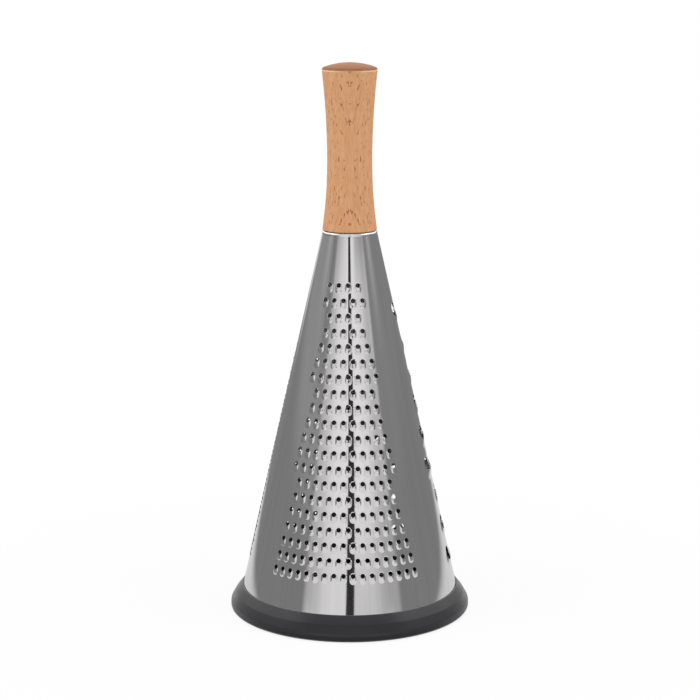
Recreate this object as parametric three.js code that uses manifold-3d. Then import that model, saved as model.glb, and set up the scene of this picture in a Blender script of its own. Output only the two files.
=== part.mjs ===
// Cone grater: a sheet steel cone with three zones of teeth, standing on a rubber ring.
// A turned beech handle is screwed to the pressed cap that closes the cone's small end.
// Millimetres, +Z up. The origin is the middle of the ring's underside, and the front is -Y.

import * as THREE from 'three';
import { ConvexGeometry } from 'three/addons/geometries/ConvexGeometry.js';
import { mergeVertices } from 'three/addons/utils/BufferGeometryUtils.js';
import Module from 'manifold-3d';

const wasm = await Module();
wasm.setup();

// Facets round the turned pieces and along their curves
const SIDES = 40;
const SCREW_SIDES = 24;
const CURVE_STEPS = 6;
const ROUND_STEPS = 3;
const MERGE_DISTANCE = 1e-5;     // corners of a mesh closer than this are one

// Cone: outside radii at its two edges, height between them, and the sheet
const CONE_FOOT_RADIUS = 55.7;
const CONE_TOP_RADIUS = 13.6;
const CONE_HEIGHT = 186.95;
const SHEET = 0.6;

// Base ring: a rubber channel that grips the cone's lower edge
const RING_OUTER_WALL = 4;       // rubber outside the groove, at its foot
const RING_WALL_HEIGHT = 3.45;   // upright part of the outside
const RING_HEIGHT = 12;          // top of the lip that hugs the cone
const RING_LIP = 0.35;           // thickness of that lip
const RING_BULGE = 0.6;          // how far the shoulder's guide point lies outside a straight slope
const RING_FOOT_ROUND = 2;       // round of the lower outside edge
const RING_FLOOR = 3;            // rubber under the cone's edge
const RING_INNER_HEIGHT = 8;     // top of the groove's inner wall
const RING_INNER_WALL = 2.2;     // thickness of that wall at its top
const GROOVE_CLEARANCE = 0.3;    // between the groove and the sheet

// Cap: its rim lies on the cone's upper edge and its skirt drops inside
const CAP_SHEET = 0.75;
const CAP_RIM_HEIGHT = 1.6;      // folded edge that shows between the cone and the handle
const CAP_RIM_ROUND = 0.6;
const CAP_SKIRT_DEPTH = 5;
const CAP_CLEARANCE = 0.3;       // between the skirt and the cone's inside

// Screw and washer, under the cap
const SCREW_RADIUS = 2;
const SCREW_LENGTH = 30;         // under the head
const SCREW_POINT = 6;           // length of the tapered point
const SCREW_HEAD_RADIUS = 4;
const SCREW_HEAD_HEIGHT = 2.6;
const SCREW_HEAD_CROWN = 0.9;    // height of the head's domed part
const SCREW_SLOT_WIDTH = 1;
const SCREW_SLOT_LENGTH = 4.4;
const SCREW_SLOT_DEPTH = 1.5;
const SCREW_CLEARANCE = 0.3;     // round the screw in the cap, washer and handle
const WASHER_RADIUS = 6.5;
const WASHER_THICKNESS = 1;

// Handle: waisted, with a domed top
const HANDLE_INSET = 0.25;       // its foot lies this far inside the cap's rim
const HANDLE_RIM_HEIGHT = 77.75; // foot to the edge of the rounded top
const HANDLE_WAIST_HEIGHT = 33.7;
const HANDLE_WAIST_RADIUS = 10.97;
const HANDLE_TOP_RADIUS = 13.5;
const HANDLE_SHOULDER = 1.6;     // round above the rim
const HANDLE_SHOULDER_TURN = 72; // degrees of that round, where it runs into the dome
const HANDLE_DOME = 2.13;        // above the round
const HANDLE_ROUND = 0.7;        // at the foot
const BORE_END_GAP = 1;          // past the screw's point

// Medium teeth, on the front. Rows count up the slant, widths run round the cone.
const MEDIUM_FACING = 0;         // degrees round from the front, towards +X
const MEDIUM_OFFSET = -3;
const MEDIUM_HOLE = 2.2;
const MEDIUM_PITCH = 4.65;
const MEDIUM_FIRST_ROW = 27.9;   // above the cone's lower edge
const MEDIUM_ROW_STEP = 7.38;
const MEDIUM_TOP_MARGIN = 22;    // least distance to the cone's upper edge
const MEDIUM_HALF_WIDTH = 37.4;  // at the first row
const MEDIUM_TAPER = 0.2174;     // narrowing per millimetre of slant
const MEDIUM_LEAST_HALF = 9.5;
const MEDIUM_LIP_WIDTH = 2.9;
const MEDIUM_LIP_LENGTH = 3;
const MEDIUM_LIP_HEIGHT = 0.7;

// Coarse teeth, round to the right and the back
const COARSE_FACING = 126;
const COARSE_OFFSET = -7.25;
const COARSE_HOLE = 7;
const COARSE_PITCH = 10.75;
const COARSE_FIRST_ROW = 27.1;
const COARSE_ROW_STEP = 15.79;
const COARSE_TOP_MARGIN = 25;
const COARSE_HALF_WIDTH = 37;
const COARSE_TAPER = 0.192;
const COARSE_LEAST_HALF = 11.6;
const COARSE_LIP_WIDTH = 7;
const COARSE_LIP_LENGTH = 5.2;
const COARSE_LIP_HEIGHT = 0.6;

// Fine teeth, round to the left and the back. The real zone has more holes than a light solid
// can hold, so only one row in FINE_KEEP, and one hole in FINE_KEEP along it, is cut here.
const FINE_FACING = -121;
const FINE_OFFSET = 0;
const FINE_HOLE = 1.2;
const FINE_PITCH = 3;
const FINE_FIRST_ROW = 25.5;
const FINE_ROW_STEP = 2.42;
const FINE_TOP_MARGIN = 23;
const FINE_HALF_WIDTH = 33.2;
const FINE_TAPER = 0.2;
const FINE_LEAST_HALF = 6;
const FINE_KEEP = 3;

// How the teeth are cut
const MEDIUM_HOLE_SIDES = 4;
const COARSE_HOLE_SIDES = 6;
const FINE_HOLE_SIDES = 4;
const MEDIUM_LIP_STEPS = 2;
const COARSE_LIP_STEPS = 4;
const LIP_LAND = 0.15;           // sheet left between a hole and its raised lip
const CUT_REACH = 1.5;           // how far a cut starts behind the sheet
const PUNCH_POINT = 15;          // height of the punch's point above the sheet

// Finishes
const RUBBER = { color: 0x3c3c3e, roughness: 0.7, metalness: 0 };
const POLISHED_STEEL = { color: 0xc8c9cb, roughness: 0.12, metalness: 1 };
const PLATED_STEEL = { color: 0xb6b7b9, roughness: 0.35, metalness: 1 };
const BEECH = { color: 0xd0a076, roughness: 0.55, metalness: 0 };

// Sizes that follow from these
const CONE_FOOT = RING_FLOOR;
const CONE_TOP = CONE_FOOT + CONE_HEIGHT;
const CONE_LEAN = Math.atan2(CONE_FOOT_RADIUS - CONE_TOP_RADIUS, CONE_HEIGHT);
const SLANT = CONE_HEIGHT / Math.cos(CONE_LEAN);
const SHEET_ACROSS = SHEET / Math.cos(CONE_LEAN);
const CAP_TOP = CONE_TOP + CAP_RIM_HEIGHT;
const CAP_UNDERSIDE = CAP_TOP - CAP_SHEET;
const WASHER_FOOT = CAP_UNDERSIDE - WASHER_THICKNESS;
const BORE_RADIUS = SCREW_RADIUS + SCREW_CLEARANCE;

// Outside radius of the cone at a height above the table
function coneRadius(z) {
  return CONE_FOOT_RADIUS - (z - CONE_FOOT) * Math.tan(CONE_LEAN);
}

function point(radius, z) {
  return new THREE.Vector2(radius, z);
}

// Points of a quarter round that turns about (radius, z) between two angles in degrees
function quarterRound(radius, z, size, from, to) {
  const points = [];
  for (let i = 0; i <= ROUND_STEPS; i++) {
    const angle = THREE.MathUtils.degToRad(from + (to - from) * i / ROUND_STEPS);
    points.push(point(radius + size * Math.cos(angle), z + size * Math.sin(angle)));
  }
  return points;
}

// A turned solid from its section, given in order round the material, counter-clockwise
function turned(section, sides) {
  return new THREE.LatheGeometry(section, sides).rotateX(Math.PI / 2);
}

// A closed geometry as a solid that can be joined and cut
function solid(geometry) {
  const bare = geometry.clone();
  bare.deleteAttribute('normal');
  bare.deleteAttribute('uv');
  const merged = mergeVertices(bare, MERGE_DISTANCE);
  return new wasm.Manifold(new wasm.Mesh({
    numProp: 3,
    vertProperties: new Float32Array(merged.attributes.position.array),
    triVerts: new Uint32Array(merged.index.array),
  }));
}

// The geometry of a finished solid
function surface(body) {
  const mesh = body.getMesh();
  const geometry = new THREE.BufferGeometry();
  geometry.setAttribute('position', new THREE.BufferAttribute(mesh.vertProperties, mesh.numProp));
  geometry.setIndex(new THREE.BufferAttribute(mesh.triVerts, 1));
  geometry.computeVertexNormals();
  return geometry;
}

function piece(name, geometry, finish) {
  const mesh = new THREE.Mesh(geometry, new THREE.MeshStandardMaterial(finish));
  mesh.name = name;
  return mesh;
}

// Base ring: upright wall, swelling shoulder, thin lip, and the groove for the cone's edge
function baseRing() {
  const grooveOuter = z => coneRadius(z) + GROOVE_CLEARANCE;
  const grooveInner = z => coneRadius(z) - SHEET_ACROSS - GROOVE_CLEARANCE;
  const outside = grooveOuter(RING_FLOOR) + RING_OUTER_WALL;
  const inside = grooveInner(RING_INNER_HEIGHT) - RING_INNER_WALL;
  const wallTop = point(outside, RING_WALL_HEIGHT);
  const lipTop = point(grooveOuter(RING_HEIGHT) + RING_LIP, RING_HEIGHT);
  const slope = lipTop.clone().sub(wallTop).normalize();
  const guide = wallTop.clone().lerp(lipTop, 0.5);
  guide.add(point(slope.y, -slope.x).multiplyScalar(RING_BULGE));
  const shoulder = new THREE.QuadraticBezierCurve(wallTop, guide, lipTop);
  const section = [
    point(inside, 0),
    ...quarterRound(outside - RING_FOOT_ROUND, RING_FOOT_ROUND, RING_FOOT_ROUND, -90, 0),
    ...shoulder.getPoints(CURVE_STEPS / 2),
    point(grooveOuter(RING_HEIGHT), RING_HEIGHT),
    point(grooveOuter(RING_FLOOR), RING_FLOOR),
    point(grooveInner(RING_FLOOR), RING_FLOOR),
    point(grooveInner(RING_INNER_HEIGHT), RING_INNER_HEIGHT),
    point(inside, RING_INNER_HEIGHT),
    point(inside, 0),
  ];
  return turned(section, SIDES);
}

// A pointed cone with the sheet's lean that stands on its foot: each of its facets is one triangle
function pointedCone(footRadius, foot) {
  const height = footRadius / Math.tan(CONE_LEAN);
  const cone = new THREE.ConeGeometry(footRadius, height, SIDES).rotateX(Math.PI / 2);
  return cone.translate(0, 0, foot + height / 2);
}

// Places of a zone's holes. Rows are staggered, and each is as wide as the zone is at its height.
// A place's axes are the way round the cone, the way up its slant and the way out of the sheet.
function zonePlaces(zone) {
  const places = [];
  const rows = Math.floor((SLANT - zone.topMargin - zone.firstRow) / zone.rowStep) + 1;
  for (let row = 0; row < rows; row++) {
    const up = zone.firstRow + row * zone.rowStep;
    const half = Math.max(zone.halfWidth - zone.taper * row * zone.rowStep, zone.leastHalf);
    const stagger = row % 2 ? 0.5 : 0;
    const reach = Math.floor(half / zone.pitch + stagger) - stagger;
    const radius = CONE_FOOT_RADIUS - up * Math.sin(CONE_LEAN);
    for (let k = -reach; k <= reach; k++) {
      const facing = THREE.MathUtils.degToRad(zone.facing);
      places.push(placeOnCone(facing + (zone.offset + k * zone.pitch) / radius, radius, up));
    }
  }
  return places;
}

function placeOnCone(angle, radius, up) {
  const radial = new THREE.Vector3(Math.sin(angle), -Math.cos(angle), 0);
  const round = new THREE.Vector3(Math.cos(angle), Math.sin(angle), 0);
  const axis = new THREE.Vector3(0, 0, 1);
  const slant = axis.clone().multiplyScalar(Math.cos(CONE_LEAN));
  slant.addScaledVector(radial, -Math.sin(CONE_LEAN));
  const out = radial.clone().multiplyScalar(Math.cos(CONE_LEAN));
  out.addScaledVector(axis, Math.sin(CONE_LEAN));
  const place = new THREE.Matrix4().makeBasis(round, slant, out);
  const centre = radial.clone().multiplyScalar(radius);
  centre.z = CONE_FOOT + up * Math.cos(CONE_LEAN);
  return place.setPosition(centre);
}

// A pointed punch from inside the cone, with a flat side down. It has its diameter at the sheet's outside.
function punch(diameter, sides) {
  const behind = SHEET + CUT_REACH;
  const length = behind + PUNCH_POINT;
  const cone = new THREE.ConeGeometry(diameter / 2 * length / PUNCH_POINT, length, sides);
  return cone.rotateY(Math.PI / sides).rotateX(Math.PI / 2).translate(0, 0, length / 2 - behind);
}

// A tooth's raised lip: the hull of an arch just below the hole and of the root that runs out under it
function lip(zone) {
  const below = zone.hole / 2 * Math.cos(Math.PI / zone.holeSides) + LIP_LAND;
  const points = [];
  for (let i = 0; i <= zone.lipSteps; i++) {
    const turn = Math.PI * i / zone.lipSteps;
    const across = zone.lipWidth / 2 * Math.cos(turn);
    points.push(new THREE.Vector3(across, -below - zone.lipLength * Math.sin(turn), -SHEET / 2));
    if (i > 0 && i < zone.lipSteps) {
      points.push(new THREE.Vector3(across, -below, zone.lipHeight * Math.sin(turn)));
    }
  }
  return new ConvexGeometry(points);
}

// One tool for a whole zone: the same shape at each of its places
function toolAt(places, geometry) {
  return places
    .map(place => solid(geometry.clone().applyMatrix4(place)))
    .reduce((tool, next) => tool.add(next));
}

// Grater cone: the rolled sheet with its raised lips added and its holes punched
function graterCone() {
  const medium = {
    facing: MEDIUM_FACING, offset: MEDIUM_OFFSET, pitch: MEDIUM_PITCH, hole: MEDIUM_HOLE,
    firstRow: MEDIUM_FIRST_ROW, rowStep: MEDIUM_ROW_STEP, topMargin: MEDIUM_TOP_MARGIN,
    halfWidth: MEDIUM_HALF_WIDTH, taper: MEDIUM_TAPER, leastHalf: MEDIUM_LEAST_HALF,
    lipWidth: MEDIUM_LIP_WIDTH, lipLength: MEDIUM_LIP_LENGTH, lipHeight: MEDIUM_LIP_HEIGHT,
    lipSteps: MEDIUM_LIP_STEPS, holeSides: MEDIUM_HOLE_SIDES,
  };
  const coarse = {
    facing: COARSE_FACING, offset: COARSE_OFFSET, pitch: COARSE_PITCH, hole: COARSE_HOLE,
    firstRow: COARSE_FIRST_ROW, rowStep: COARSE_ROW_STEP, topMargin: COARSE_TOP_MARGIN,
    halfWidth: COARSE_HALF_WIDTH, taper: COARSE_TAPER, leastHalf: COARSE_LEAST_HALF,
    lipWidth: COARSE_LIP_WIDTH, lipLength: COARSE_LIP_LENGTH, lipHeight: COARSE_LIP_HEIGHT,
    lipSteps: COARSE_LIP_STEPS, holeSides: COARSE_HOLE_SIDES,
  };
  const fine = {
    facing: FINE_FACING, offset: FINE_OFFSET, pitch: FINE_PITCH * FINE_KEEP,
    firstRow: FINE_FIRST_ROW, rowStep: FINE_ROW_STEP * FINE_KEEP, topMargin: FINE_TOP_MARGIN,
    halfWidth: FINE_HALF_WIDTH, taper: FINE_TAPER, leastHalf: FINE_LEAST_HALF,
  };
  const mediumPlaces = zonePlaces(medium);
  const coarsePlaces = zonePlaces(coarse);
  const inside = coneRadius(CONE_FOOT - CUT_REACH) - SHEET_ACROSS;
  const width = 2 * (CONE_FOOT_RADIUS + COARSE_LIP_HEIGHT + CUT_REACH);
  const belowTop = new THREE.BoxGeometry(width, width, 2 * CONE_HEIGHT);
  return surface(
    solid(pointedCone(CONE_FOOT_RADIUS, CONE_FOOT))
      .add(toolAt(mediumPlaces, lip(medium)))
      .add(toolAt(coarsePlaces, lip(coarse)))
      .subtract(solid(pointedCone(inside, CONE_FOOT - CUT_REACH)))
      .subtract(toolAt(mediumPlaces, punch(MEDIUM_HOLE, MEDIUM_HOLE_SIDES)))
      .subtract(toolAt(coarsePlaces, punch(COARSE_HOLE, COARSE_HOLE_SIDES)))
      .subtract(toolAt(zonePlaces(fine), punch(FINE_HOLE, FINE_HOLE_SIDES)))
      .intersect(solid(belowTop.translate(0, 0, CONE_TOP - CONE_HEIGHT))),
  );
}

// Top cap: a disc with a rounded rim, a straight skirt and a hole for the screw
function topCap() {
  const skirt = CONE_TOP_RADIUS - SHEET_ACROSS - CAP_CLEARANCE;
  const section = [
    point(skirt - CAP_SHEET, CONE_TOP - CAP_SKIRT_DEPTH),
    point(skirt, CONE_TOP - CAP_SKIRT_DEPTH),
    point(skirt, CONE_TOP),
    ...quarterRound(CONE_TOP_RADIUS - CAP_RIM_ROUND, CONE_TOP + CAP_RIM_ROUND, CAP_RIM_ROUND, -90, 0),
    ...quarterRound(CONE_TOP_RADIUS - CAP_RIM_ROUND, CAP_TOP - CAP_RIM_ROUND, CAP_RIM_ROUND, 0, 90),
    point(BORE_RADIUS, CAP_TOP),
    point(BORE_RADIUS, CAP_UNDERSIDE),
    point(skirt - CAP_SHEET, CAP_UNDERSIDE),
    point(skirt - CAP_SHEET, CONE_TOP - CAP_SKIRT_DEPTH),
  ];
  return turned(section, SIDES);
}

function screwWasher() {
  const section = [
    point(BORE_RADIUS, WASHER_FOOT),
    point(WASHER_RADIUS, WASHER_FOOT),
    point(WASHER_RADIUS, CAP_UNDERSIDE),
    point(BORE_RADIUS, CAP_UNDERSIDE),
    point(BORE_RADIUS, WASHER_FOOT),
  ];
  return turned(section, SCREW_SIDES);
}

// Handle screw: crowned head with a cross recess below, plain shank and point above
function handleScrew() {
  const headFoot = WASHER_FOOT - SCREW_HEAD_HEIGHT;
  const tip = WASHER_FOOT + SCREW_LENGTH;
  const crown = new THREE.QuadraticBezierCurve(
    point(0, headFoot),
    point(SCREW_HEAD_RADIUS, headFoot),
    point(SCREW_HEAD_RADIUS, headFoot + SCREW_HEAD_CROWN),
  );
  const section = [
    ...crown.getPoints(CURVE_STEPS),
    point(SCREW_HEAD_RADIUS, WASHER_FOOT),
    point(SCREW_RADIUS, WASHER_FOOT),
    point(SCREW_RADIUS, tip - SCREW_POINT),
    point(0, tip),
  ];
  const depth = 2 * SCREW_SLOT_DEPTH;
  const along = new THREE.BoxGeometry(SCREW_SLOT_LENGTH, SCREW_SLOT_WIDTH, depth);
  const across = new THREE.BoxGeometry(SCREW_SLOT_WIDTH, SCREW_SLOT_LENGTH, depth);
  const recess = solid(along.translate(0, 0, headFoot)).add(solid(across.translate(0, 0, headFoot)));
  return surface(solid(turned(section, SCREW_SIDES)).subtract(recess));
}

// Handle: a blind bore for the screw, two parabolas that meet at the waist, and a domed top
function handle() {
  const foot = CAP_TOP;
  const footRadius = CONE_TOP_RADIUS - HANDLE_INSET;
  const waist = foot + HANDLE_WAIST_HEIGHT;
  const rim = foot + HANDLE_RIM_HEIGHT;
  const boreEnd = WASHER_FOOT + SCREW_LENGTH + BORE_END_GAP;
  const lower = new THREE.QuadraticBezierCurve(
    point(footRadius, foot + HANDLE_ROUND),
    point(HANDLE_WAIST_RADIUS, (foot + HANDLE_ROUND + waist) / 2),
    point(HANDLE_WAIST_RADIUS, waist),
  );
  const upper = new THREE.QuadraticBezierCurve(
    point(HANDLE_WAIST_RADIUS, waist),
    point(HANDLE_WAIST_RADIUS, (waist + rim) / 2),
    point(HANDLE_TOP_RADIUS, rim),
  );
  const round = quarterRound(
    HANDLE_TOP_RADIUS - HANDLE_SHOULDER, rim, HANDLE_SHOULDER, 0, HANDLE_SHOULDER_TURN,
  );
  const domeEdge = round[round.length - 1];
  const crest = domeEdge.y + HANDLE_DOME;
  const dome = new THREE.QuadraticBezierCurve(domeEdge, point(domeEdge.x / 2, crest), point(0, crest));
  const section = [
    point(0, boreEnd),
    point(BORE_RADIUS, boreEnd),
    point(BORE_RADIUS, foot),
    ...quarterRound(footRadius - HANDLE_ROUND, foot + HANDLE_ROUND, HANDLE_ROUND, -90, 0),
    ...lower.getPoints(CURVE_STEPS).slice(1),
    ...upper.getPoints(CURVE_STEPS).slice(1),
    ...round.slice(1),
    ...dome.getPoints(CURVE_STEPS).slice(1),
  ];
  return turned(section, SIDES);
}

const grater = new THREE.Group();
grater.add(
  piece('base_ring', baseRing(), RUBBER),
  piece('grater_cone', graterCone(), POLISHED_STEEL),
  piece('top_cap', topCap(), POLISHED_STEEL),
  piece('screw_washer', screwWasher(), PLATED_STEEL),
  piece('handle_screw', handleScrew(), PLATED_STEEL),
  piece('handle', handle(), BEECH),
);

export default grater;
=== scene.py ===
"""Cone grater: the looks of its pieces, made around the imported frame.

Metres, +Z up, the front is -Y. An angle round the axis is measured from the front towards +X.
Pieces are surfaces worked out with numpy: turned pieces are a section carried round the axis, and the
cone is a flat sheet that is punched, drawn and rolled.
"""

import math

import bpy
import numpy as np
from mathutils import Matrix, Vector
from mathutils.geometry import delaunay_2d_cdt


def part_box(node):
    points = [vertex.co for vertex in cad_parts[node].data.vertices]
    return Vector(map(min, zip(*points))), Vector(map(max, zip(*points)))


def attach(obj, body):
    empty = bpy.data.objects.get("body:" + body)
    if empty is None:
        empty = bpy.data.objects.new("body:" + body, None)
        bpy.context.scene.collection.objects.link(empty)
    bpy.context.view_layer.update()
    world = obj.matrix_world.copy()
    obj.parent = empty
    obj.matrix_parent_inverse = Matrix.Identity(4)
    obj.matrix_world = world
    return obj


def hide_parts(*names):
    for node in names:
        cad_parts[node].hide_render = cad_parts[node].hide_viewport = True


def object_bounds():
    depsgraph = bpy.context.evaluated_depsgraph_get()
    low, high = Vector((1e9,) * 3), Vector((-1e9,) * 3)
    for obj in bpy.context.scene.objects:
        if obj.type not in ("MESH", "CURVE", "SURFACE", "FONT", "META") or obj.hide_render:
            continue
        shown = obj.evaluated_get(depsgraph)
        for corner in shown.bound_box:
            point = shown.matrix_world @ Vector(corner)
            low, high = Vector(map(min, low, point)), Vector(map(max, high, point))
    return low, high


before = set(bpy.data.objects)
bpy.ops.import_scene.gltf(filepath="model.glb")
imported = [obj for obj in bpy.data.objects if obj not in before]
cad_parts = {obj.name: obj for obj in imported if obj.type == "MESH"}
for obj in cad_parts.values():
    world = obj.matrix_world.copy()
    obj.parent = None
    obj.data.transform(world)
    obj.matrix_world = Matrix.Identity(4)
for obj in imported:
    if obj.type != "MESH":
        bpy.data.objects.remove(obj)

bl_info = {
    "name": "Cone grater",
    "version": (1, 0, 0),
    "blender": (4, 5, 0),
    "location": "3D View > Sidebar > Grater",
    "description": "Makes the pieces of a cone grater and the stage it stands on",
    "category": "Object",
}

MM = 0.001
TURN = 2 * math.pi
TINY = 1e-9                    # lengths and shares below this count as nothing
CREASE = math.radians(40)      # edges sharper than this stay sharp
RING_SIDES, CAP_SIDES, HANDLE_SIDES, WASHER_SIDES = 192, 160, 128, 96     # points round these pieces

# Places taken from the frame
CAD_LOW, CAD_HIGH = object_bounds()
RING_LOW, RING_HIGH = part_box("base_ring")
CONE_LOW, CONE_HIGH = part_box("grater_cone")
CAP_LOW, CAP_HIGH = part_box("top_cap")
WASHER_LOW, WASHER_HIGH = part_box("screw_washer")
SCREW_LOW, SCREW_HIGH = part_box("handle_screw")
HANDLE_LOW, HANDLE_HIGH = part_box("handle")


def linear(red, green, blue):
    """A colour as it shows on a screen, 0 to 255, in a shader's linear values, by the sRGB curve."""
    screen = np.array([red, green, blue]) / 255
    return tuple(np.where(screen <= 0.04045, screen / 12.92, ((screen + 0.055) / 1.055) ** 2.4))


# Settings that a user would change


def length(name, description, millimetres):
    return bpy.props.FloatProperty(
        name=name, description=description, default=millimetres * MM, unit="LENGTH", precision=5
    )


def angle(name, description, degrees):
    return bpy.props.FloatProperty(
        name=name, description=description, default=math.radians(degrees), subtype="ANGLE"
    )


def share(name, description, default):
    return bpy.props.FloatProperty(name=name, description=description, default=default, precision=4)


def count(name, description, default):
    return bpy.props.IntProperty(name=name, description=description, default=default, min=1)


def colour(name, description, screen):
    return bpy.props.FloatVectorProperty(
        name=name, description=description, default=linear(*screen), subtype="COLOR", min=0, max=1
    )


def zone_properties(
    facing, offset, hole, pitch, first_row, row_step, top_margin, half_width, taper, least_half,
    side, below, above, lift, dish, around, rings,
):
    """The settings of one zone of teeth. Sizes are in millimetres, and rows count up the slant."""
    return {
        "facing": angle("Facing", "Angle of the zone's middle from the front", facing),
        "offset": length("Offset", "Shift of every row round the cone", offset),
        "hole": length("Hole", "Diameter of a hole", hole),
        "pitch": length("Pitch", "From hole to hole along a row", pitch),
        "first_row": length("First row", "Above the cone's lower edge", first_row),
        "row_step": length("Row step", "From row to row up the slant", row_step),
        "top_margin": length("Top margin", "Least distance to the cone's upper edge", top_margin),
        "half_width": length("Half width", "Half the width of the first row", half_width),
        "taper": share("Taper", "Narrowing of half the width per length of slant", taper),
        "least_half": length("Least half", "Half the width of the narrowest rows", least_half),
        "side": length("Drawn side", "Half the width of the drawn metal", side),
        "below": length("Drawn below", "How far the drawn metal reaches below the hole's middle", below),
        "above": length("Drawn above", "How far the drawn metal reaches above the hole's middle", above),
        "lift": length("Lift", "Height of the raised tongue at the hole", lift),
        "dish": length("Dish", "Depth of the sunk metal above the hole", dish),
        "around": count("Points around", "Points round a hole", around),
        "rings": count("Rings", "Rings of points from the hole to the plain sheet", rings),
    }


class MediumTeeth(bpy.types.PropertyGroup):
    """Medium teeth, on the front"""

    __annotations__ = zone_properties(
        facing=0, offset=-3, hole=2.3, pitch=4.65, first_row=27.9, row_step=7.38, top_margin=22,
        half_width=37.4, taper=0.2174, least_half=9.5, side=1.76, below=4.3, above=1.7,
        lift=0.45, dish=0.16, around=16, rings=5,
    )


class CoarseTeeth(bpy.types.PropertyGroup):
    """Coarse teeth, round to the right and the back"""

    __annotations__ = zone_properties(
        facing=126, offset=-7.25, hole=7, pitch=10.75, first_row=27.1, row_step=15.79, top_margin=25,
        half_width=37, taper=0.192, least_half=11.6, side=5.2, below=8.6, above=4.6,
        lift=0.58, dish=0.3, around=28, rings=6,
    )


class FineTeeth(bpy.types.PropertyGroup):
    """Fine teeth, round to the left and the back"""

    __annotations__ = zone_properties(
        facing=-121, offset=0, hole=1.1, pitch=3, first_row=25.5, row_step=2.42, top_margin=23,
        half_width=33.2, taper=0.2, least_half=6, side=1.2, below=1.2, above=1.2,
        lift=0.3, dish=-0.3, around=8, rings=2,
    )


class GraterSizes(bpy.types.PropertyGroup):
    """Sizes of the pieces"""

    sheet: length("Sheet", "Thickness of the cone's sheet", 0.6)
    ring_wall: length("Ring wall", "From the ring's outside to the cone's lower edge", 4.3)
    ring_upright: length("Ring upright", "Height of the upright part of the ring's outside", 3.8)
    ring_floor: length("Ring floor", "Rubber under the cone's lower edge", (CONE_LOW.z - RING_LOW.z) / MM)
    ring_inner_height: length("Ring inner height", "Top of the wall inside the cone", 8)
    ring_inner_wall: length("Ring inner wall", "Thickness of the wall inside the cone", 2.2)
    ring_lip: length("Ring lip", "Thickness of the lip that hugs the cone", 0.6)
    hug: length("Hug", "Gap between the rubber and the sheet", 0.04)
    cap_sheet: length("Cap sheet", "Thickness of the cap", 0.75)
    skirt_gap: length("Skirt gap", "Between the cap's skirt and the cone's inside", 0.3)
    bore: length("Bore", "Radius of the screw's hole in the cap, washer and handle", 2.3)
    bore_end: length("Bore end", "Depth of the bore past the screw's point", 1)
    shank: length("Shank", "Radius of the screw over its thread", 2)
    thread_depth: length("Thread depth", "From the thread's crest to its root", 0.55)
    thread_pitch: length("Thread pitch", "From turn to turn of the thread", 1.8)
    screw_head: length("Screw head", "Height of the head", 2.6)
    screw_point: length("Screw point", "Length of the tapered point", 6)
    slot_width: length("Slot width", "Width of the cross recess", 1)
    slot_length: length("Slot length", "Length of the cross recess", 4.4)
    slot_depth: length("Slot depth", "Depth of the cross recess", 1.5)
    handle_foot: length("Handle foot", "Radius of the handle's foot", 13.35)
    handle_waist: length("Handle waist", "Radius of the handle's waist", 10.97)
    waist_height: length("Waist height", "From the handle's foot to its waist", 33.7)
    rim_height: length("Rim height", "From the handle's foot to the edge of its rounded top", 77.75)
    handle_round: length("Handle round", "Round of the handle's foot", 0.7)
    handle_shoulder: length("Handle shoulder", "Round above the handle's rim", 1.6)


class GraterColours(bpy.types.PropertyGroup):
    """Colours of the finishes"""

    steel: colour("Steel", "Polished sheet", (224, 222, 223))
    cap: colour("Cap", "Bright plated cap", (248, 248, 249))
    plating: colour("Plating", "Plated screw and washer", (186, 188, 192))
    rubber: colour("Rubber", "Base ring", (21, 21, 26))
    beech: colour("Beech", "Handle", (205, 146, 99))
    beech_pale: colour("Pale beech", "Pale streaks of the handle", (221, 168, 124))
    # also used at half strength for the painted shade at the handle's foot
    beech_fleck_and_shade: colour("Beech fleck", "Short dark flecks of the handle", (148, 80, 38))
    beech_end: colour("Beech end", "End grain on the domed top", (188, 126, 84))
    # painted highlight: a pale line on the rim at both sides, where light catches its edge
    beech_highlight: colour("Beech, worn edge", "Pale line on the rim", (240, 205, 172))
    # also used at a fifth of its brightness for the painted shade under the object
    floor: colour("Floor", "White table", (247, 247, 247))


class GraterStage(bpy.types.PropertyGroup):
    """Camera and studio"""

    camera_distance: length("Camera distance", "From the axis, to the front", 1002.83)
    camera_height: length("Camera height", "Above the table", 336.04)
    camera_aside: length("Camera aside", "To the right of the axis", 0.15)
    camera_pitch: angle("Camera pitch", "How far the camera looks down", 11.53)
    focal_length: share("Focal length", "Millimetres, on a sensor 36 mm wide", 106.22)
    wall_radius: length("Wall radius", "From the axis to the studio walls that metal reflects", 1000)
    wall_height: length("Wall height", "Height of those walls", 1400)
    ambient: share("Ambient", "Strength of the light from all round", 0.62)
    grey: share("Studio grey", "How bright the studio's grey sides look to metal", 0.26)


class GraterSettings(bpy.types.PropertyGroup):
    """All settings of the cone grater"""

    sizes: bpy.props.PointerProperty(type=GraterSizes)
    medium: bpy.props.PointerProperty(type=MediumTeeth)
    coarse: bpy.props.PointerProperty(type=CoarseTeeth)
    fine: bpy.props.PointerProperty(type=FineTeeth)
    colours: bpy.props.PointerProperty(type=GraterColours)
    stage: bpy.props.PointerProperty(type=GraterStage)


# Meshes from arrays


def smoothstep(low, high, value):
    """0 below low, 1 above high, and a smooth S between them."""
    part = np.clip((value - low) / (high - low), 0, 1)
    return part * part * (3 - 2 * part)


def add_object(name, mesh, *materials):
    """A new object in the scene. Its mesh gets the materials in this order."""
    for material in materials:
        mesh.materials.append(material)
    made = bpy.data.objects.new(name, mesh)
    bpy.context.scene.collection.objects.link(made)
    return made


def add_piece(name, mesh, node, slot, *materials):
    """A piece that rides on the one body and stands for its node."""
    piece = add_object(name, mesh, *materials)
    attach(piece, "root")
    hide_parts(node)


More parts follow.
